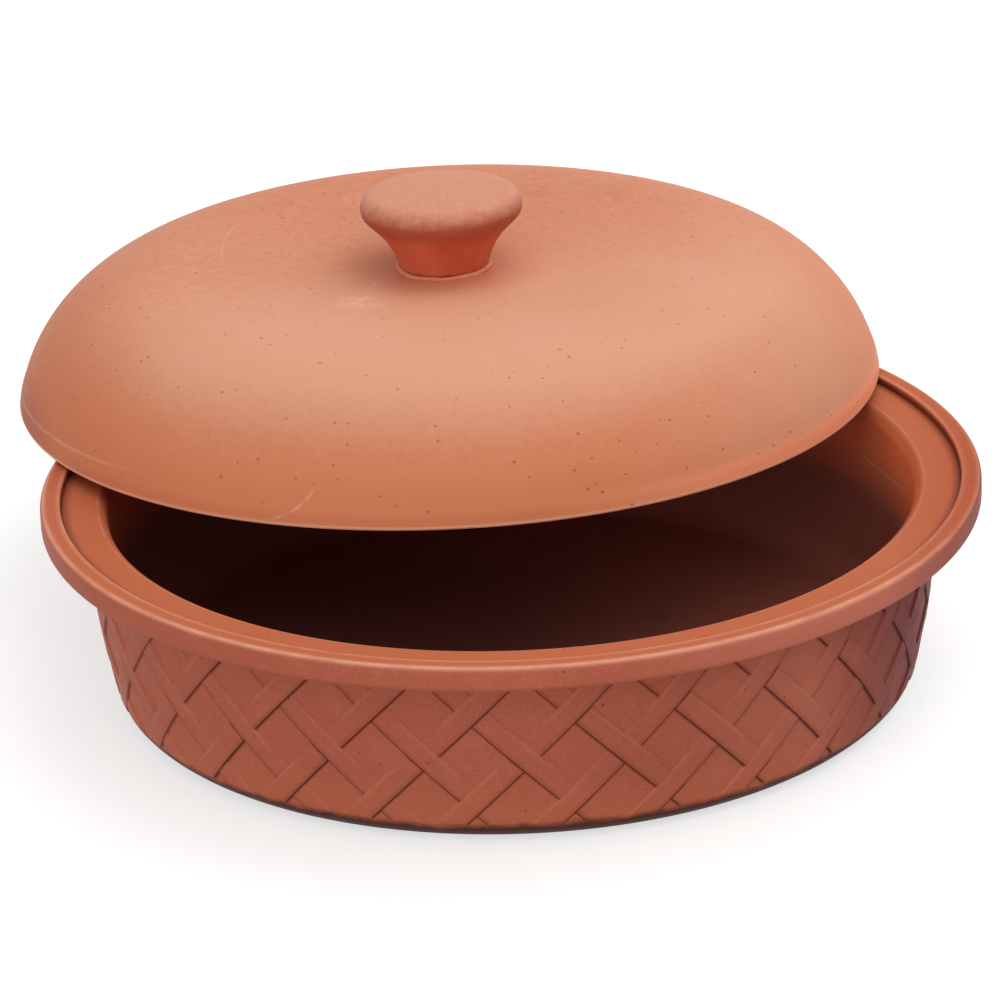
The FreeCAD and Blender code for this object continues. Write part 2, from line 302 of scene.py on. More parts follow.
def lathe(radius, height, columns):
    """Points and quads of a surface turned about the axis, a row for each point of its section.

    A point at angle a goes to (radius sin a, -radius cos a, height). Radius and height are one
    value for each row, or one for each row and column.
    """
    angle = 2 * np.pi * np.arange(columns) / columns
    shape = np.ones((len(radius), columns))
    points = [radius * np.sin(angle) * shape, -radius * np.cos(angle) * shape, height * shape]
    row, column = np.meshgrid(np.arange(len(radius) - 1), np.arange(columns), indexing="ij")
    after = (column + 1) % columns
    quads = np.stack([column, after, after + columns, column + columns], axis=-1) + row[..., None] * columns
    return np.stack(points, axis=-1).reshape(-1, 3), quads.reshape(-1, 4)


def cap(ring, tip):
    """Triangles from a ring of points to one point on the axis."""
    return np.stack([ring, np.roll(ring, -1), np.full(len(ring), tip)], axis=1)


def stitch(points, one, other):
    """Triangles between two rings of points that go round the axis at their own angles.

    Each point makes a triangle with the one before it on its ring and with the last point of the
    other ring that comes before it in angle.
    """
    angles = np.arctan2(points[:, 0], -points[:, 1])
    one = one[np.argsort(angles[one])]
    other = other[np.argsort(angles[other])]
    facing_one = other[np.searchsorted(angles[other], angles[one], side="right") - 1]
    facing_other = one[np.searchsorted(angles[one], angles[other], side="left") - 1]
    return np.concatenate([
        np.stack([np.roll(one, 1), one, facing_one], axis=1),
        np.stack([other, np.roll(other, 1), facing_other], axis=1),
    ])


def skin(name, points, faces, material, node, body, marks):
    """Make the object from points in millimetres, turn its faces outward and hang it on its body.

    Marks are named values, one for each point, which its material reads.
    """
    mesh = bpy.data.meshes.new(name)
    mesh.from_pydata((points / 1000).tolist(), [], [face for block in faces for face in block.tolist()])
    shell = bmesh.new()
    shell.from_mesh(mesh)
    bmesh.ops.recalc_face_normals(shell, faces=shell.faces)
    shell.to_mesh(mesh)
    shell.free()
    mesh.shade_smooth()
    mesh.materials.append(material)
    for mark, values in marks.items():
        mesh.attributes.new(mark, "FLOAT", "POINT").data.foreach_set("value", values.astype(np.float32))
    made = bpy.data.objects.new(name, mesh)
    scene.collection.objects.link(made)
    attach(made, body)
    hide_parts(node)


def weave_net():
    """Points and triangles of a net on a cylinder, with its lines parallel to the strips.

    The lines stand at the listed distances from each strip's middle, so that every edge of the
    relief is a line of the net. Planes then cut it off where the relief begins and ends.
    """
    steep = np.array(STEEP_SIDE)
    soft = np.array(SOFT_SIDE)
    down_left = np.concatenate([-steep[::-1], [0], soft, [STRIP_SPACING / 2]]) / STRIP_SPACING
    down_right = np.concatenate([-soft[::-1], [0], steep, [STRIP_SPACING / 2]]) / STRIP_SPACING
    lines = len(down_left)
    slope = math.tan(math.radians(STRIP_LEAN))
    lines_up = 2 * slope / PITCH * lines
    low = math.floor((WEAVE_START - NET_MARGIN - WEAVE_MIDDLE) * lines_up)
    high = math.ceil((FLANGE_BOTTOM + NET_MARGIN - WEAVE_MIDDLE) * lines_up)
    first, apart = np.meshgrid(np.arange(STRIPS_PER_WAY * lines), np.arange(low, high + 1), indexing="ij")
    second = first - apart
    one = first // lines + down_left[first % lines]
    two = second // lines + down_right[second % lines]
    angle = (one + two) / 2 * PITCH / BELLY_RADIUS
    height = WEAVE_MIDDLE + (one - two) / 2 * PITCH / slope
    points = np.stack([BELLY_RADIUS * np.sin(angle), -BELLY_RADIUS * np.cos(angle), height], axis=-1)
    around, tall = first.shape
    here, up = np.meshgrid(np.arange(around), np.arange(1, tall - 1), indexing="ij")
    beyond = (here + 1) % around
    quads = np.stack([here, beyond, beyond, here], -1) * tall
    quads += np.stack([up, up + 1, up, up - 1], -1)
    mesh = bpy.data.meshes.new("net")
    mesh.from_pydata(points.reshape(-1, 3).tolist(), [], quads.reshape(-1, 4).tolist())
    net = bmesh.new()
    net.from_mesh(mesh)
    for level, above, below in (
        (WEAVE_START, False, True), (WEAVE_START + RING_GAP, False, False),
        (WEAVE_START + WEAVE_RUN_IN, False, False), (FLANGE_BOTTOM, True, False),
    ):
        bmesh.ops.bisect_plane(
            net, geom=net.verts[:] + net.edges[:] + net.faces[:], dist=CUT_TOLERANCE,
            plane_co=(0, 0, level), plane_no=(0, 0, 1), clear_outer=above, clear_inner=below,
        )
    bmesh.ops.triangulate(net, faces=net.faces[:])
    net.to_mesh(mesh)
    net.free()
    places = np.empty(len(mesh.vertices) * 3)
    mesh.vertices.foreach_get("co", places)
    corners = np.empty(len(mesh.loops), dtype=int)
    mesh.loops.foreach_get("vertex_index", corners)
    bpy.data.meshes.remove(mesh)
    used, corners = np.unique(corners, return_inverse=True)
    return places.reshape(-1, 3)[used], corners.reshape(-1, 3)


def relief(angle, height):
    """How far the woven strips stand out, and their painted crevice shade and edge highlights.

    Each strip has a steep side, which looks down, and a soft side, which looks up. At a crossing
    the strip on top is whole and the other dives beside it. Their places swap from one row of
    crossings to the next. A crevice's painted shade is darkest along its middle and gone 1.5
    widths from it.
    """
    rise = (height - WEAVE_MIDDLE) * math.tan(math.radians(STRIP_LEAN))
    place = np.stack([angle * BELLY_RADIUS + rise, angle * BELLY_RADIUS - rise]) / PITCH
    nearest = np.round(place)
    offset = (place - nearest) * STRIP_SPACING
    steep = np.stack([offset[0] < 0, offset[1] > 0])
    distance = np.abs(offset)
    edge = np.where(steep, STEEP_SIDE[2], SOFT_SIDE[2])
    foot = np.where(steep, STEEP_SIDE[3], SOFT_SIDE[3])
    stand = np.clip((foot - distance) / (foot - edge), 0, 1)
    dive = np.where(
        steep, np.interp(distance, [STEEP_SIDE[3], *DIVE_RUN], STEEP_DIVE),
        np.interp(distance, [SOFT_SIDE[3], *DIVE_RUN], SOFT_DIVE),
    )
    swell = np.interp(distance, SWELL_RUN, SWELL)
    # Painted shade along the steep sides' crevices, and a painted highlight along the edges.
    crevice_shade = np.clip(1.5 - np.abs(distance - CREVICE_PLACE) / CREVICE_WIDTH, 0, CREVICE_SHARE) * steep
    pale_highlight = np.clip(1 - np.abs(distance - STRIP_HIGHLIGHT_PLACE) / STRIP_HIGHLIGHT_WIDTH, 0, 1)
    pale_highlight = pale_highlight * np.where(steep, STRIP_HIGHLIGHT_STEEP, 1.0)
    clear = distance > STRIP_WIDTH / 2
    falling_on_top = (nearest[0] - nearest[1]) % 2 == 0
    top = np.where(falling_on_top, stand[0] * swell[1], stand[1] * swell[0])
    under = np.where(falling_on_top, stand[1] * dive[0], stand[0] * dive[1])
    dark_top = np.where(falling_on_top, crevice_shade[0], crevice_shade[1])
    dark_under = np.where(falling_on_top, crevice_shade[1] * clear[0], crevice_shade[0] * clear[1])
    pale = np.where(falling_on_top, pale_highlight[0], pale_highlight[1])
    fade = np.clip((height - WEAVE_START) / WEAVE_RUN_IN, 0, 1) * np.interp(height, WEAVE_FADE, WEAVE_FADED)
    return STRIP_RELIEF * np.maximum(top, under) * fade, np.maximum(dark_top, dark_under) * fade, pale * fade


BELLY_RADIUS = wall((FOOT_HEIGHT + FLANGE_BOTTOM) / 2)
PITCH = 2 * math.pi * BELLY_RADIUS / STRIPS_PER_WAY
STRIP_SPACING = PITCH * math.cos(math.radians(STRIP_LEAN))

net, net_faces = weave_net()
angle = np.arctan2(net[:, 0], -net[:, 1])
stand, crevice_shade, pale_highlight = relief(angle, net[:, 2])
radius = wall(net[:, 2]) + stand
angle = angle + math.radians(WEAVE_PHASE)
radius = radius * shrink(angle)
net = np.stack([radius * np.sin(angle), -radius * np.cos(angle), net[:, 2]], axis=1)

# The section from the weave's top up the flange, over the lip and seat and down inside to the axis,
# and the one from the weave's start down to the foot. The foot's curve meets its flat at a tangent.
# The lean is the wall's, in degrees, from its radii half a millimetre above and below.
rim_side = RIM_RADIUS - LIP_ROUNDING
lip_inside = RIM_RADIUS - LIP_WIDTH
seat_height = DISH_HEIGHT - SEAT_DEPTH
ledge_inside = lip_inside - SEAT_WIDTH
corner_height = FLOOR_THICKNESS + FLOOR_ROUNDING
lean = math.degrees(math.atan(wall(corner_height + 0.5) - wall(corner_height - 0.5)))
corner = (wall(corner_height) - WALL_THICKNESS - FLOOR_ROUNDING / math.cos(math.radians(lean)), corner_height)
inside_heights = np.linspace(seat_height - SEAT_ROUNDING, corner_height, WELL_ROWS)[1:-1]
upper = np.concatenate([
    run((WALL_TOP_RADIUS + RING_STEP, FLANGE_BOTTOM), (rim_side - HEM, FLANGE_BOTTOM), 3),
    run((rim_side - HEM, FLANGE_BOTTOM), (rim_side, FLANGE_BOTTOM), 1),
    turn((rim_side, FLANGE_BOTTOM + LIP_ROUNDING), LIP_ROUNDING, -90, 0, 8),
    turn((rim_side, DISH_HEIGHT - LIP_ROUNDING), LIP_ROUNDING, 0, 90, 8),
    run((rim_side - RING_GAP, DISH_HEIGHT), (lip_inside + LIP_INNER_ROUNDING + RING_GAP, DISH_HEIGHT), 3),
    turn((lip_inside + LIP_INNER_ROUNDING, DISH_HEIGHT - LIP_INNER_ROUNDING), LIP_INNER_ROUNDING, 90, 180, 4),
    turn((lip_inside - SEAT_CORNER, seat_height + SEAT_CORNER), SEAT_CORNER, 0, -90, 4),
    run((lip_inside - SEAT_CORNER - RING_GAP, seat_height), (ledge_inside + RING_GAP, seat_height), 4),
    turn((ledge_inside, seat_height - SEAT_ROUNDING), SEAT_ROUNDING, 90, 180, 16),
    np.stack([wall(inside_heights) - WALL_THICKNESS, inside_heights], axis=1),
    turn(corner, FLOOR_ROUNDING, -lean, -90, 10),
    run((corner[0] - RING_STEP, FLOOR_THICKNESS), (0, FLOOR_THICKNESS), 8),
])
foot_run = wall(FOOT_HEIGHT) - FOOT_RADIUS
foot_round = (foot_run ** 2 + FOOT_HEIGHT ** 2) / (2 * FOOT_HEIGHT)
foot_turn = math.degrees(math.atan2(foot_run, foot_round - FOOT_HEIGHT))
lower = np.concatenate([
    [(wall(WEAVE_START - RING_GAP), WEAVE_START - RING_GAP)],
    turn((FOOT_RADIUS, foot_round), foot_round, -90 + foot_turn, -90, 9),
    run((FOOT_RADIUS - FOOT_RING, 0), (0, 0), 6),
])

# The edges painted with a pale highlight, with the share of highlight, the place and the reach of each.
highlight_edges = [
    (1.0, (rim_side + 0.5 * LIP_ROUNDING, DISH_HEIGHT - 0.14 * LIP_ROUNDING), 1.0),
    (0.5, (lip_inside + LIP_INNER_ROUNDING, DISH_HEIGHT), 0.7),
    (0.35, (ledge_inside - 1.0, seat_height - 0.15), 0.6),
]


def near(section, place, reach):
    """One at a place in section, falling to none at a reach from it."""
    return np.clip(1 - np.linalg.norm(section - np.array(place), axis=1) / reach, 0, 1)


def inward(section):
    """One for the points of the section from the lip's top inward, and none for those outside."""
    return np.cumsum(section[:, 1] > LIP_TOP).clip(0, 1) * (section[0, 1] > WEAVE_START)


ring = np.arange(COLUMNS)
drawn_in = shrink(2 * np.pi * ring / COLUMNS)
points = net
faces = [net_faces]
none = np.zeros(len(net))
# The net carries the strips' painted crevice shade and edge highlights; it is not in the mouth.
marks = {"crevice_shade": crevice_shade, "wear_and_highlight": STRIP_HIGHLIGHT_SHARE * pale_highlight, "mouth": none, "well_shade": none}
for section, height in ((upper, FLANGE_BOTTOM), (lower, WEAVE_START)):
    inside = inward(section)
    drawn = {
        # Painted shade along the seat's step.
        "crevice_shade": near(section, (lip_inside - 0.1, seat_height), SEAT_SHADE_REACH),
        # Pale painted highlights on the lip's outer and inner edges and on the seat's inner edge.
        "wear_and_highlight": np.maximum.reduce([
            share * near(section, place, reach) for share, place, reach in highlight_edges
        ]),
        "mouth": inside,
        # Painted shade deep in the well.
        "well_shade": inside * np.clip((seat_height - WELL_SHADE_TOP - section[:, 1]) / WELL_SHADE_RUN, 0, 1),
    }
    for mark, values in drawn.items():
        marks[mark] = np.concatenate([marks[mark], np.repeat(values, COLUMNS), values[-1:]])
    start = len(points)
    edge = np.flatnonzero(np.abs(net[:, 2] - height) < CUT_TOLERANCE)
    turned, quads = lathe(section[:, :1] * drawn_in, section[:, 1:], COLUMNS)
    points = np.concatenate([points, turned, [(0, 0, section[-1, 1])]])
    tip = len(points) - 1
    faces += [quads + start, stitch(points, edge, ring + start), cap(ring + tip - COLUMNS, tip)]


class Clay:
    """Unglazed terracotta, painted in layers on object coordinates, in metres."""

    def __init__(self, name, tone):
        self.material = bpy.data.materials.new(name)
        self.material.use_nodes = True
        self.tree = self.material.node_tree
        self.shader = self.tree.nodes["Principled BSDF"]
        self.place = wire(self.tree, "ShaderNodeTexCoord").outputs["Object"]
        self.colour = (*tone, 1.0)

    def spread(self, value, low, high, to_low=0.0, to_high=1.0):
        """A value carried from one range to another, and held within it."""
        sockets = {"Value": value, "From Min": low, "From Max": high, "To Min": to_low, "To Max": to_high}
        return wire(self.tree, "ShaderNodeMapRange", sockets).outputs["Result"]

    def work(self, operation, one, other=0.0):
        """One step of arithmetic."""
        return wire(self.tree, "ShaderNodeMath", {0: one, 1: other}, operation=operation).outputs[0]

    def times(self, one, other):
        """The product of two values."""
        return self.work("MULTIPLY", one, other)

    def noise(self, scale, detail=2.0, rough=0.5):
        """Soft noise with so many waves to a metre."""
        sockets = {"Vector": self.place, "Scale": scale, "Detail": detail, "Roughness": rough}
        return wire(self.tree, "ShaderNodeTexNoise", sockets).outputs["Fac"]

    def spots(self, scale, share, smallest, largest):
        """Round spots in a share of the cells of a Voronoi pattern, sized in parts of a cell."""
        cells = wire(self.tree, "ShaderNodeTexVoronoi", {"Vector": self.place, "Scale": scale})
        chance = wire(self.tree, "ShaderNodeSeparateColor", {"Color": cells.outputs["Color"]})
        size = self.spread(chance.outputs["Green"], 0.0, 1.0, smallest, largest)
        depth = self.work("SUBTRACT", size, cells.outputs["Distance"])
        chosen = self.work("LESS_THAN", chance.outputs["Red"], share)
        return self.times(self.spread(depth, 0.0, SPOT_SOFTNESS * smallest), chosen)

    def mark(self, name):
        """A value that the mesh holds for each of its points."""
        return wire(self.tree, "ShaderNodeAttribute", attribute_name=name).outputs["Fac"]

    def along(self, way):
        """How far the surface lies along a direction from the origin."""
        sockets = {0: self.place, 1: way}
        return wire(self.tree, "ShaderNodeVectorMath", sockets, operation="DOT_PRODUCT").outputs["Value"]

    def apart(self, point):
        """How far the surface lies from a point."""
        sockets = {0: self.place, 1: point}
        return wire(self.tree, "ShaderNodeVectorMath", sockets, operation="DISTANCE").outputs["Value"]

    def scuff(self, middle, radius, start, reach):
        """A scratch: a thin arc at a radius round a middle, no farther than a reach from its start."""
        off = self.work("ABSOLUTE", self.work("SUBTRACT", self.apart(middle), radius))
        return self.times(self.spread(off, SCUFF_WIDTH, 0.0),
                          self.spread(self.apart(start), reach, SCUFF_FADE * reach))

    def paint(self, share, tone):
        """Lay a tone over the colour so far, by a share from 0 to 1."""
        sockets = {0: share, 6: self.colour, 7: (*tone, 1.0)}
        self.colour = wire(self.tree, "ShaderNodeMix", sockets, data_type="RGBA").outputs[2]

    def fire(self, height, depth, roughness, specular):
        """Join the colour, a height in parts of a depth, the roughness and the gloss to the shader."""
        bump = wire(self.tree, "ShaderNodeBump", {"Height": height, "Strength": 1.0, "Distance": depth})
        self.tree.links.new(bump.outputs["Normal"], self.shader.inputs["Normal"])
        self.tree.links.new(self.colour, self.shader.inputs["Base Color"])
        self.tree.links.new(roughness, self.shader.inputs["Roughness"])
        self.shader.inputs["Specular IOR Level"].default_value = specular
        return self.material


# The clay's own clouds, mottle and grain, then its tones by place: dry at the right front and
# orange in the mouth. Then painted light and shade: bounce light on the inner wall at the right and
# low on the outside wall, highlights on the edges, and shade in the well, in the crevices and the
# seat's step, at the right, under the flange and at the foot.
UP = (0.0, 0.0, 1.0)
RIGHT = (1.0, 0.0, 0.0)

clay = Clay("dish_terracotta", DISH_CLAY)
mottle = clay.noise(*DISH_MOTTLE)
grain = clay.noise(*DISH_GRAIN_NOISE)
clay.paint(clay.spread(clay.noise(*DISH_CLOUDS), *CLOUD_SPREAD), DISH_CLAY_DEEP)
clay.paint(clay.spread(mottle, *PALE_SPREAD), DISH_CLAY_PALE)
clay.paint(clay.spread(grain, *GRAIN_SPREAD), DISH_GRAIN)
pits = clay.spots(*DISH_PITS)
height = clay.along(UP)
mouth = clay.mark("mouth")
not_mouth = clay.spread(mouth, 0.0, 0.5, 1.0, 0.0)
below_flange = clay.work("LESS_THAN", height, FLANGE_BOTTOM / 1000 + 0.0001)
outside = clay.times(below_flange, not_mouth)
clay.paint(clay.times(clay.spread(clay.along(DRY_SIDE), *DRY_SPREAD), not_mouth), DRY_CLAY)
clay.paint(clay.times(mouth, MOUTH_SHARE), MOUTH_CLAY)
# Paint the bounce light on the inner wall at the right.
well_bounce_light = clay.spread(height, INSIDE_FULL / 1000, INSIDE_TOP / 1000, 1.0, 0.0)
across = clay.along(RIGHT)
well_bounce_light = clay.times(well_bounce_light, clay.spread(across, *INSIDE_ACROSS))
clay.paint(clay.times(mouth, well_bounce_light), INSIDE_BOUNCE_LIGHT)
# Paint the highlights on the edges.
clay.paint(clay.times(clay.mark("wear_and_highlight"), clay.spread(mottle, *HIGHLIGHT_MOTTLE_SPREAD)), WEAR_AND_HIGHLIGHT_CLAY)
clay.paint(clay.times(pits, PIT_SHARE), CREVICE_SHADE_AND_PITS)
# Paint the shade deep in the well.
clay.paint(clay.times(clay.mark("well_shade"), WELL_SHADE_SHARE), WELL_SHADE_CLAY)
# Paint the bounce light low on the outside wall.
clay.paint(clay.times(clay.spread(height, *LOW_WALL_SPREAD), outside), LOW_WALL_BOUNCE_LIGHT)
# Paint the shade on the right of the dish.
right_shade = clay.work("ADD", clay.along(RIGHT_SHADE_SIDE), clay.times(mottle, RIGHT_SHADE_RAGGED))
right_shade = clay.times(clay.spread(right_shade, *RIGHT_SHADE_SPREAD), outside)
clay.paint(clay.times(right_shade, RIGHT_SHADE_SHARE), RIGHT_SHADE_CLAY)
far_right_shade = clay.spread(clay.along(RIGHT_SHADE_SIDE), *FAR_RIGHT_SHADE_SPREAD)
clay.paint(clay.times(far_right_shade, not_mouth), RIGHT_SHADE_CLAY)
clay.paint(clay.times(far_right_shade, mouth), RIGHT_SHADE_MOUTH)
# Paint the cool shade tint under the flange.
shade_tint_from, shade_tint_to = FLANGE_BOTTOM / 1000 - np.array(UNDER_FLANGE_RUN)
under_flange_shade = clay.spread(height, shade_tint_from, shade_tint_to, 0.0, UNDER_FLANGE_SHARE)
clay.paint(clay.times(under_flange_shade, outside), UNDER_FLANGE_SHADE_TINT)
# Paint the shadow round the foot, with a ragged upper edge.
ragged = clay.work("ADD", height, clay.times(mottle, FOOT_RAGGED))
clay.paint(clay.spread(ragged, *FOOT_SPREAD), FOOT_SHADOW)
# Paint the shade in the crevices and the seat's step, fainter outside towards the left and right.
depth = clay.work("MAXIMUM", mouth, clay.spread(clay.work("ABSOLUTE", across), *CREVICE_SPREAD))
clay.paint(clay.times(clay.mark("crevice_shade"), depth), CREVICE_SHADE_AND_PITS)
scuff = clay.scuff(*DISH_SCUFF)
clay.paint(clay.times(scuff, clay.times(mouth, DISH_SCUFF_SHARE)), WEAR_AND_HIGHLIGHT_CLAY)
bumps = clay.work("SUBTRACT", clay.work("ADD", clay.times(grain, DISH_GRAIN_HEIGHT), mottle), pits)
clay.fire(bumps, SKIN_ROUGH, clay.spread(mottle, *DISH_ROUGHNESS), DISH_SPECULAR)
skin("dish_skin", points, faces, clay.material, "dish", "dish", marks)

# ---- Lid: a slip-cast terracotta dome, drawn back on the dish and tipped up a little at its front.
# ---- A short band goes round its edge, and its top falls a little towards the knob's pad.
SEAT_CLEARANCE = 1.0
LID_THICKNESS = 6.5
LID_BAND_HEIGHT = 4.5
LID_BAND_STEP = 0.4
LID_BAND_DRAFT = 0.5
LID_EDGE_ROUNDING = 0.9
LID_EDGE_GAP = 0.3
LID_KILN_TURN = 2
BAND_FOOT_IN = 0.1
BAND_FOOT_UP = 0.6
BAND_BLEND = (-2.2, 2.8)
BLEND_ROWS = 12
SHOULDER_RADIUS = 44.0
SHOULDER_START = 74.6
CROWN_FALL = 3.0
KNOB_PAD_RADIUS = 16.0
LID_BACK = 76.0
LID_TIP = 2.32
REST_GAP = 0.2

# Tones, spreads and noises, as for the dish. A rise is a height above the lid's own lower edge.
# The lid's clay, lightened by a painted sheen.
LID_CLAY_AND_SHEEN = (0.645, 0.256, 0.147)
LID_CLAY_DEEP = (0.59, 0.215, 0.112)
LID_CLOUDS = (9.0, 3.0)
LID_CLOUD_SPREAD = (0.35, 0.7, 0.0, 0.7)
LID_CLAY_PALE = (0.68, 0.306, 0.188)
LID_MOTTLE = (70.0, 5.0, 0.62)
LID_PALE_SPREAD = (0.5, 0.75, 0.0, 0.5)
LID_GRAIN = (0.46, 0.145, 0.070)
LID_GRAIN_NOISE = (1100.0, 3.0, 0.65)
LID_COARSE_NOISE = (420.0, 3.0)
COARSE_SPREAD = (0.45, 0.7, 0.0, 0.3)
# The clay without the painted sheen, painted over the lower dome and the sides so that the top reads lighter.
LOW_CLAY = (0.66, 0.216, 0.099)
LOW_SPREAD = (0.008, 0.028, 1.0, 0.0)
LOW_ACROSS = (0.090, 0.118, 0.0, 0.7)
# Painted sheen on the front of the dome's upper shoulder and on its right flank.
SHEEN_CLAY = (0.67, 0.320, 0.207)
SHEEN_RAGGED = 0.04
SHEEN_RISE = (0.019, 0.032)
SHEEN_FRONT = (0.115, 0.045)
SHEEN_RIGHT = (0.040, 0.110, 0.0, 0.85)
SHEEN_SHARE = 0.85
# Painted shade on the left of the dome, darkest at its far left edge.
LEFT_SHADE_CLAY = (0.56, 0.165, 0.085)
LEFT_SPREAD = (-0.118, -0.085, 0.5, 0.0)
FAR_LEFT_SHADE_CLAY = (0.36, 0.090, 0.065)
FAR_LEFT_SPREAD = (-0.1205, -0.1155, 0.6, 0.0)
# A painted highlight along the band's crease at the left: a thin pale line.
CREASE_HIGHLIGHT_RISE = 0.0073
CREASE_HIGHLIGHT_FALL = 0.03
CREASE_HIGHLIGHT_WIDTH = 0.0006
CREASE_HIGHLIGHT_ACROSS = (-0.098, -0.110)
CREASE_HIGHLIGHT_SPREAD = (0.35, 0.6, 0.12, 0.32)
# Painted light on the band at the right.
BAND_PAINTED_LIGHT = (0.83, 0.285, 0.150)
BAND_SPREAD = (0.0038, 0.0064, 1.0, 0.0)
BAND_ACROSS = (0.0, 0.05)
# A painted highlight along the lid's lower edge.
EDGE_HIGHLIGHT = (0.94, 0.46, 0.29)
EDGE_SPREAD = (0.0008, 0.0014, 0.9, 0.0)
# Painted warm bounce light and shade round the knob.
KNOB_BOUNCE_CLAY = (0.66, 0.205, 0.088)
KNOB_BOUNCE_SPREAD = (0.0135, 0.032, 0.5, 0.0)
# A darker, more orange patch in front of the knob and to its right.
FRONT_PATCH_CLAY = (0.60, 0.225, 0.100)
FRONT_PATCH_PLACE = (0.0325, 0.0265, 0.0955)
FRONT_PATCH_SPREAD = (0.0, 0.034, 0.42, 0.0)
# A pale tone for the scratches and the smudge, and for the painted highlight along the band's crease.
SCUFF_AND_HIGHLIGHT = (0.82, 0.50, 0.38)
SCUFFED_NOISE = 350.0
SCUFFED_SPREAD = (0.4, 0.6, 0.1)
SMUDGE_PLACE = (-0.0288, 0.0507, 0.0934)
SMUDGE_REACH = 0.009
SMUDGE_SPREAD = (0.35, 0.65, 0.0, 0.6)
PIT = (0.38, 0.105, 0.050)
LID_PITS = (240.0, 1.0, 0.075, 0.13)
LID_PIT_SHARE = 0.6
LID_GRAIN_HEIGHT = 0.4
LID_ROUGHNESS = (0.3, 0.7, 0.46, 0.54)
LID_SPECULAR = 0.06

# Each scratch: the middle and radius of its arc, its start, its reach and its strength.
SCUFFS = [
    ((-0.0672, -0.0111, 0.0771), 0.0177, (-0.0640, -0.0243, 0.0669), 0.0085, 0.5),
    ((-0.0001, 0.0944, 0.0927), 0.0586, (-0.0546, 0.1125, 0.0923), 0.0180, 0.3),
    ((-0.0352, 0.0750, 0.0922), 0.0154, (-0.0229, 0.0662, 0.0921), 0.0036, 0.5),
]

lid_radius = RIM_RADIUS - LIP_WIDTH - SEAT_CLEARANCE
start_turn = math.radians(SHOULDER_START)
shoulder = (
    lid_radius - LID_BAND_DRAFT - LID_BAND_STEP - SHOULDER_RADIUS * math.sin(start_turn),
    LID_BAND_HEIGHT - SHOULDER_RADIUS * math.cos(start_turn),
)
inner_radius = SHOULDER_RADIUS - LID_THICKNESS
inner_edge = shoulder[0] + math.sqrt(inner_radius ** 2 - shoulder[1] ** 2)
inner_start = math.degrees(math.asin(-shoulder[1] / inner_radius))


def crown(radius):
    """The dome's line inward from the shoulder's end: a slight fall to the flat pad, then the axis."""
    end = turn(shoulder, radius, 90 + CROWN_FALL, 90 + CROWN_FALL, 0)[0]
    pad = end[1] - (end[0] - KNOB_PAD_RADIUS) * math.tan(math.radians(CROWN_FALL))
    flat = (KNOB_PAD_RADIUS, pad)
    return np.concatenate([run(end, flat, 14)[1:], run(flat, (0, pad), 5)])


def lay(points):
    """Tip points of the lid, draw them back and lift them to the lip of the dish."""
    tip = math.radians(LID_TIP)
    touch = (LID_BACK ** 2 + RIM_RADIUS ** 2 - inner_edge ** 2) / (2 * LID_BACK)
    height = DISH_HEIGHT + REST_GAP - (LID_BACK - touch) * math.tan(tip)
    x, y, z = points.T
    back = LID_BACK + y * math.cos(tip) + z * math.sin(tip)
    return np.stack([x, back, height - y * math.sin(tip) + z * math.cos(tip)], axis=1)


def ease(start, start_slope, end, end_slope, share):
    """A smooth cubic between two values, which leaves each at its own slope."""
    back = 1 - share
    from_start = (1 + 2 * share) * back ** 2 * start + share * back ** 2 * start_slope
    return from_start + share ** 2 * (3 - 2 * share) * end - share ** 2 * back * end_slope


# The band runs into the dome by a soft step, which leaves each in that one's own direction.
blend_low, blend_high = LID_BAND_HEIGHT + np.array(BAND_BLEND)
blend_height = blend_high - blend_low
blend_turn = math.asin((blend_high - shoulder[1]) / SHOULDER_RADIUS)
band_edge = lid_radius - LID_BAND_DRAFT * blend_low / LID_BAND_HEIGHT
dome_edge = shoulder[0] + SHOULDER_RADIUS * math.cos(blend_turn)
share = np.linspace(0, 1, BLEND_ROWS + 1)[:-1]
blend_radius = ease(
    band_edge, -LID_BAND_DRAFT / LID_BAND_HEIGHT * blend_height,
    dome_edge, -math.tan(blend_turn) * blend_height, share,
)
inner = np.concatenate([turn(shoulder, inner_radius, inner_start, 90 + CROWN_FALL, 26), crown(inner_radius)])
outer = np.concatenate([
    run((inner_edge + LID_EDGE_GAP, 0), (lid_radius - LID_EDGE_ROUNDING - LID_EDGE_GAP, 0), 2),
    turn((lid_radius - LID_EDGE_ROUNDING, LID_EDGE_ROUNDING), LID_EDGE_ROUNDING, -90, 0, 6),
    run((lid_radius - BAND_FOOT_IN, LID_EDGE_ROUNDING + BAND_FOOT_UP), (band_edge, blend_low), 2),
    np.column_stack([blend_radius, blend_low + blend_height * share]),
    turn(shoulder, SHOULDER_RADIUS, math.degrees(blend_turn), 90 + CROWN_FALL, 44),
    crown(SHOULDER_RADIUS),
])
section = np.concatenate([inner[::-1], outer])
drawn_in = shrink(2 * np.pi * ring / COLUMNS + LID_KILN_TURN)
turned, quads = lathe(section[:, :1] * drawn_in, section[:, 1:], COLUMNS)
points = np.concatenate([turned, [(0, 0, section[0, 1]), (0, 0, section[-1, 1])]])
tip = len(points) - 1
faces = [quads, cap(ring, tip - 1), cap(ring + tip - 1 - COLUMNS, tip)]
pad_middle = tuple(lay(section[-1:, 1:] * (0, 0, 1))[0] / 1000)

# The lid's tone carries a painted sheen, stronger on the front of the upper shoulder and the right
# flank, and the lower dome and the sides are painted without it. The left is painted in shade.
# Painted highlights run along the band's crease at the left and along the lower edge, and painted
# light lies on the band at the right. Painted warm bounce light and shade lie round the knob, and
# a darker, more orange patch lies in front of it and to its right.
FRONT_TO_BACK = (0.0, 1.0, 0.0)

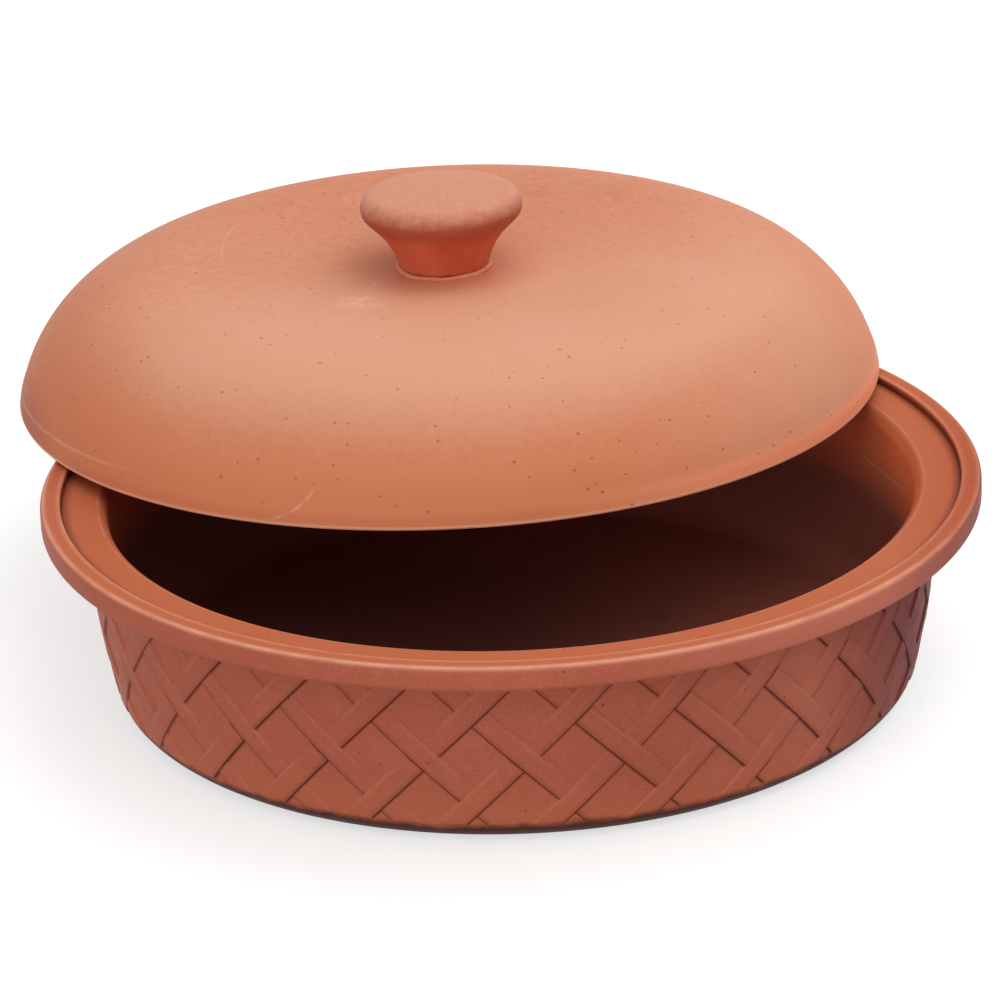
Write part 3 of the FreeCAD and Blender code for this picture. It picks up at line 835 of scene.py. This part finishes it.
clay = Clay("lid_terracotta", LID_CLAY_AND_SHEEN)
mottle = clay.noise(*LID_MOTTLE)
grain = clay.noise(*LID_GRAIN_NOISE)
clay.paint(clay.spread(clay.noise(*LID_CLOUDS), *LID_CLOUD_SPREAD), LID_CLAY_DEEP)
clay.paint(clay.spread(mottle, *LID_PALE_SPREAD), LID_CLAY_PALE)
clay.paint(clay.spread(clay.noise(*LID_COARSE_NOISE), *COARSE_SPREAD), LID_GRAIN)
clay.paint(clay.spread(grain, *GRAIN_SPREAD), LID_GRAIN)
rise = clay.mark("rise")
# Paint the lower dome without the sheen.
clay.paint(clay.spread(rise, *LOW_SPREAD), LOW_CLAY)
back = clay.along(FRONT_TO_BACK)
across = clay.along(RIGHT)
# Paint the sheen over the front of the upper shoulder and the right flank.
drift = clay.times(mottle, SHEEN_RAGGED)
front = clay.spread(clay.work("ADD", back, drift), *SHEEN_FRONT)
right = clay.spread(clay.work("ADD", across, drift), *SHEEN_RIGHT)
painted_sheen = clay.times(clay.work("MAXIMUM", clay.spread(rise, *SHEEN_RISE), right), front)
clay.paint(clay.times(painted_sheen, SHEEN_SHARE), SHEEN_CLAY)
# Paint the left and right sides without the sheen too.
clay.paint(clay.spread(clay.work("ABSOLUTE", across), *LOW_ACROSS), LOW_CLAY)
# Paint the shade on the left.
clay.paint(clay.spread(across, *LEFT_SPREAD), LEFT_SHADE_CLAY)
clay.paint(clay.spread(across, *FAR_LEFT_SPREAD), FAR_LEFT_SHADE_CLAY)
# Paint the highlight along the band's crease at the left.
crease_highlight = clay.work("SUBTRACT", clay.work("ADD", rise, clay.times(back, CREASE_HIGHLIGHT_FALL)), CREASE_HIGHLIGHT_RISE)
crease_highlight = clay.spread(clay.work("ABSOLUTE", crease_highlight), CREASE_HIGHLIGHT_WIDTH, 0.0)
crease_highlight = clay.times(crease_highlight, clay.spread(across, *CREASE_HIGHLIGHT_ACROSS))
clay.paint(clay.times(crease_highlight, clay.spread(mottle, *CREASE_HIGHLIGHT_SPREAD)), SCUFF_AND_HIGHLIGHT)
# Paint light on the band at the right.
clay.paint(clay.times(clay.spread(rise, *BAND_SPREAD), clay.spread(across, *BAND_ACROSS)), BAND_PAINTED_LIGHT)
# Paint the highlight along the lower edge.
clay.paint(clay.spread(rise, *EDGE_SPREAD), EDGE_HIGHLIGHT)
# Paint the warm bounce light and shade round the knob.
clay.paint(clay.spread(clay.apart(pad_middle), *KNOB_BOUNCE_SPREAD), KNOB_BOUNCE_CLAY)
# Paint the darker, more orange patch.
clay.paint(clay.spread(clay.apart(FRONT_PATCH_PLACE), *FRONT_PATCH_SPREAD), FRONT_PATCH_CLAY)
patchy = clay.noise(SCUFFED_NOISE)
for middle, radius, start, reach, share in SCUFFS:
    wear_and_highlight = clay.spread(patchy, *SCUFFED_SPREAD, share)
    clay.paint(clay.times(clay.scuff(middle, radius, start, reach), wear_and_highlight), SCUFF_AND_HIGHLIGHT)
smudge = clay.spread(clay.apart(SMUDGE_PLACE), 0.0, SMUDGE_REACH, 1.0, 0.0)
clay.paint(clay.times(smudge, clay.spread(patchy, *SMUDGE_SPREAD)), SCUFF_AND_HIGHLIGHT)
pits = clay.spots(*LID_PITS)
clay.paint(clay.times(pits, LID_PIT_SHARE), PIT)
bumps = clay.work("SUBTRACT", clay.work("ADD", clay.times(grain, LID_GRAIN_HEIGHT), mottle), pits)
clay.fire(bumps, SKIN_ROUGH, clay.spread(mottle, *LID_ROUGHNESS), LID_SPECULAR)
rises = {"rise": np.append(np.repeat(section[:, 1], COLUMNS), section[[0, -1], 1]) / 1000}
skin("lid_dome_skin", lay(points), faces, clay.material, "lid_dome", "lid", rises)

# ---- Knob: a mushroom of terracotta, cast apart and stuck on damp. Its cap is painted pale, partly
# ---- its own paler clay and partly a painted highlight, and its waisted stem stays a deeper red,
# ---- with painted shade under the cap.
KNOB_RADIUS = 22.7
KNOB_HEIGHT = 23.0
KNOB_CROWN = 0.9
KNOB_EDGE_RADIUS = 4.3
KNOB_EDGE_END = 87.2
KNOB_FOOT_RADIUS = 12.4
KNOB_FOOT_INSIDE = 3.0
KNOB_NECK_INSET = 4.0
KNOB_FLARE = 45.0
KNOB_UNEVEN = 0.004
KNOB_COLUMNS = 200

# Tones, spreads and noises, as for the dish. A rise is a height above the knob's own foot.
STEM_CLAY = (0.64, 0.160, 0.082)
STEM_CLAY_DEEP = (0.54, 0.095, 0.042)
STEM_CLOUDS = (90.0, 3.0)
STEM_CLOUD_SPREAD = (0.35, 0.65, 0.0, 0.8)
KNOB_MOTTLE = (420.0, 4.0, 0.65)
KNOB_GRAIN_NOISE = (1500.0, 2.0, 0.6)
KNOB_GRAIN_SPREAD = (0.35, 0.7, 0.0, 0.25)
KNOB_RAGGED = 0.002
# Painted shade on the neck, under the cap.
UNDER_CAP_SHADE = (0.33, 0.068, 0.040)
UNDER_CAP_SHADE_SPREAD = (0.0105, 0.016, 0.0, 0.85)
# The cap's pale clay, which also stands for a painted highlight where light from above and behind falls.
CAP_CLAY = (0.56, 0.205, 0.115)
CAP_SPREAD = (0.0172, 0.0215)
CAP_CLAY_PALE = (0.62, 0.30, 0.195)
CAP_PALE_SPREAD = (0.36, 0.68, 0.15, 0.85)
FLECKS = (230.0, 0.5, 0.06, 0.12)
FLECK_SHARE = 0.5
CRACK = (0.12, 0.030, 0.018)
CRACK_SPREAD = (0.0006, 0.0016, 0.8, 0.0)
KNOB_GRAIN_HEIGHT = 0.4
KNOB_ROUGH = 0.0003
KNOB_ROUGHNESS = (0.3, 0.7, 0.5, 0.62)
KNOB_SPECULAR = 0.25

foot = crown(SHOULDER_RADIUS)[-1, 1]
edge_centre = (KNOB_RADIUS - KNOB_EDGE_RADIUS, foot + KNOB_HEIGHT - KNOB_CROWN - KNOB_EDGE_RADIUS)
under_cap = turn(edge_centre, KNOB_EDGE_RADIUS, KNOB_FLARE - 90, KNOB_FLARE - 90, 0)[0]
neck_radius = KNOB_RADIUS - KNOB_NECK_INSET
neck_fall = (under_cap[0] - neck_radius) * math.tan(math.radians(KNOB_FLARE))
neck = np.array([neck_radius, under_cap[1] - neck_fall])

# The stem's waist is the arc from its foot to the neck that meets the flare at a tangent.
stem_foot = np.array([KNOB_FOOT_RADIUS, foot])
chord = neck - stem_foot
half_turn = math.radians(KNOB_FLARE) - math.atan2(chord[1], chord[0])
stem_radius = np.linalg.norm(chord) / 2 / math.sin(abs(half_turn))
across = np.array([-chord[1], chord[0]]) / np.linalg.norm(chord)
stem_centre = (stem_foot + neck) / 2 + across * stem_radius * math.cos(half_turn) * np.sign(half_turn)
stem_start, stem_end = np.degrees(np.arctan2(*(np.stack([stem_foot, neck]) - stem_centre).T[::-1])) % 360
cap_radius = np.linspace(edge_centre[0], 0, 12)[1:-1, None]
section = np.concatenate([
    run((KNOB_FOOT_INSIDE, foot), stem_foot, 3)[:2],
    turn(stem_centre, stem_radius, stem_start, stem_end, 16),
    run(neck, under_cap, 3)[1:],
    turn(edge_centre, KNOB_EDGE_RADIUS, KNOB_FLARE - 90, KNOB_EDGE_END, 22),
    np.hstack([cap_radius, foot + KNOB_HEIGHT - KNOB_CROWN * (cap_radius / edge_centre[0]) ** 2]),
])

# The knob is smoothed by hand, so it draws in a little, three times round.
knob_ring = np.arange(KNOB_COLUMNS)
knob_angle = 2 * np.pi * knob_ring / KNOB_COLUMNS
hand_made = 1 - KNOB_UNEVEN * (1 + np.sin(3 * knob_angle + 1.2))
turned, quads = lathe(section[:, :1] * hand_made, section[:, 1:], KNOB_COLUMNS)
points = np.concatenate([turned, [(0, 0, foot), (0, 0, foot + KNOB_HEIGHT)]])
tip = len(points) - 1
faces = [quads, cap(knob_ring, tip - 1), cap(knob_ring + tip - 1 - KNOB_COLUMNS, tip)]

clay = Clay("knob_terracotta", STEM_CLAY)
mottle = clay.noise(*KNOB_MOTTLE)
grain = clay.noise(*KNOB_GRAIN_NOISE)
clay.paint(clay.spread(clay.noise(*STEM_CLOUDS), *STEM_CLOUD_SPREAD), STEM_CLAY_DEEP)
flecks = clay.spots(*FLECKS)
height = clay.work("ADD", clay.mark("rise"), clay.times(clay.work("SUBTRACT", mottle, 0.5), KNOB_RAGGED))
# Paint the shade under the cap.
clay.paint(clay.spread(height, *UNDER_CAP_SHADE_SPREAD), UNDER_CAP_SHADE)
# The cap is painted pale: partly its own paler clay, partly a painted highlight.
pale_highlight = clay.spread(height, *CAP_SPREAD)
clay.paint(pale_highlight, CAP_CLAY)
clay.paint(clay.times(pale_highlight, clay.spread(mottle, *CAP_PALE_SPREAD)), CAP_CLAY_PALE)
clay.paint(clay.spread(grain, *KNOB_GRAIN_SPREAD), STEM_CLAY_DEEP)
clay.paint(clay.times(flecks, FLECK_SHARE), CAP_CLAY_PALE)
clay.paint(clay.spread(height, *CRACK_SPREAD), CRACK)
bumps = clay.work("ADD", clay.times(grain, KNOB_GRAIN_HEIGHT), mottle)
clay.fire(bumps, KNOB_ROUGH, clay.spread(mottle, *KNOB_ROUGHNESS), KNOB_SPECULAR)
rises = {"rise": np.append(np.repeat(section[:, 1] - foot, KNOB_COLUMNS), [0, KNOB_HEIGHT]) / 1000}
skin("lid_knob_skin", lay(points), faces, clay.material, "lid_knob", "lid", rises)

# ---- Slip bead: the ring of slip squeezed out round the knob's foot. It is never quite even, and
# ---- at the front a fine shrinkage crack parts it from the stem.
SLIP_BEAD_WIDTH = 1.5
SLIP_BEAD_HEIGHT = 1.2
SLIP_BEAD_ROOT = 0.7
SLIP_BEAD_ROWS = 13
CRACK_START = 4
SLIP_CLAY = (0.68, 0.25, 0.14)
SLIP_MOTTLE = (400.0, 3.0, 0.6)
SLIP_SPREAD = (0.4, 0.7, 0.0, 0.7)
SLIP_SPECULAR = 0.2

# The bead swells five times round in width and three times in height, with a finer ripple of eight.
# Where it is parted from the stem, at the front, its inner edge stands at the stem's own foot.
parted = np.clip(1.6 * np.cos(knob_angle + 0.15) - 0.6, 0, 1)
width = SLIP_BEAD_WIDTH * (0.85 + 0.15 * np.sin(5 * knob_angle))
inside = KNOB_FOOT_RADIUS - SLIP_BEAD_ROOT * (1 - parted)
outside = KNOB_FOOT_RADIUS + width
tall = SLIP_BEAD_HEIGHT * (0.8 + 0.12 * np.sin(3 * knob_angle) + 0.08 * np.sin(8 * knob_angle))
bow = np.radians(np.linspace(0, 180, SLIP_BEAD_ROWS))[:, None]
radius = (outside + inside) / 2 + (outside - inside) / 2 * np.cos(bow)
turned, quads = lathe(radius, foot + tall * np.sin(bow), KNOB_COLUMNS)
last = len(turned) - KNOB_COLUMNS
under = np.stack([knob_ring + last, np.roll(knob_ring, -1) + last, np.roll(knob_ring, -1), knob_ring], axis=1)
faces = [quads, under]

clay = Clay("slip_terracotta", SLIP_CLAY)
mottle = clay.noise(*SLIP_MOTTLE)
clay.paint(clay.spread(mottle, *SLIP_SPREAD), STEM_CLAY)
clay.paint(clay.mark("crack"), CRACK)
clay.fire(mottle, KNOB_ROUGH, clay.spread(mottle, *KNOB_ROUGHNESS), SLIP_SPECULAR)
crack = np.clip(np.degrees(bow) / 30 - CRACK_START, 0, 1) * (0.3 + 0.7 * parted)
skin("knob_slip_bead_skin", lay(turned), faces, clay.material, "knob_slip_bead", "lid",
     {"crack": crack.ravel()})
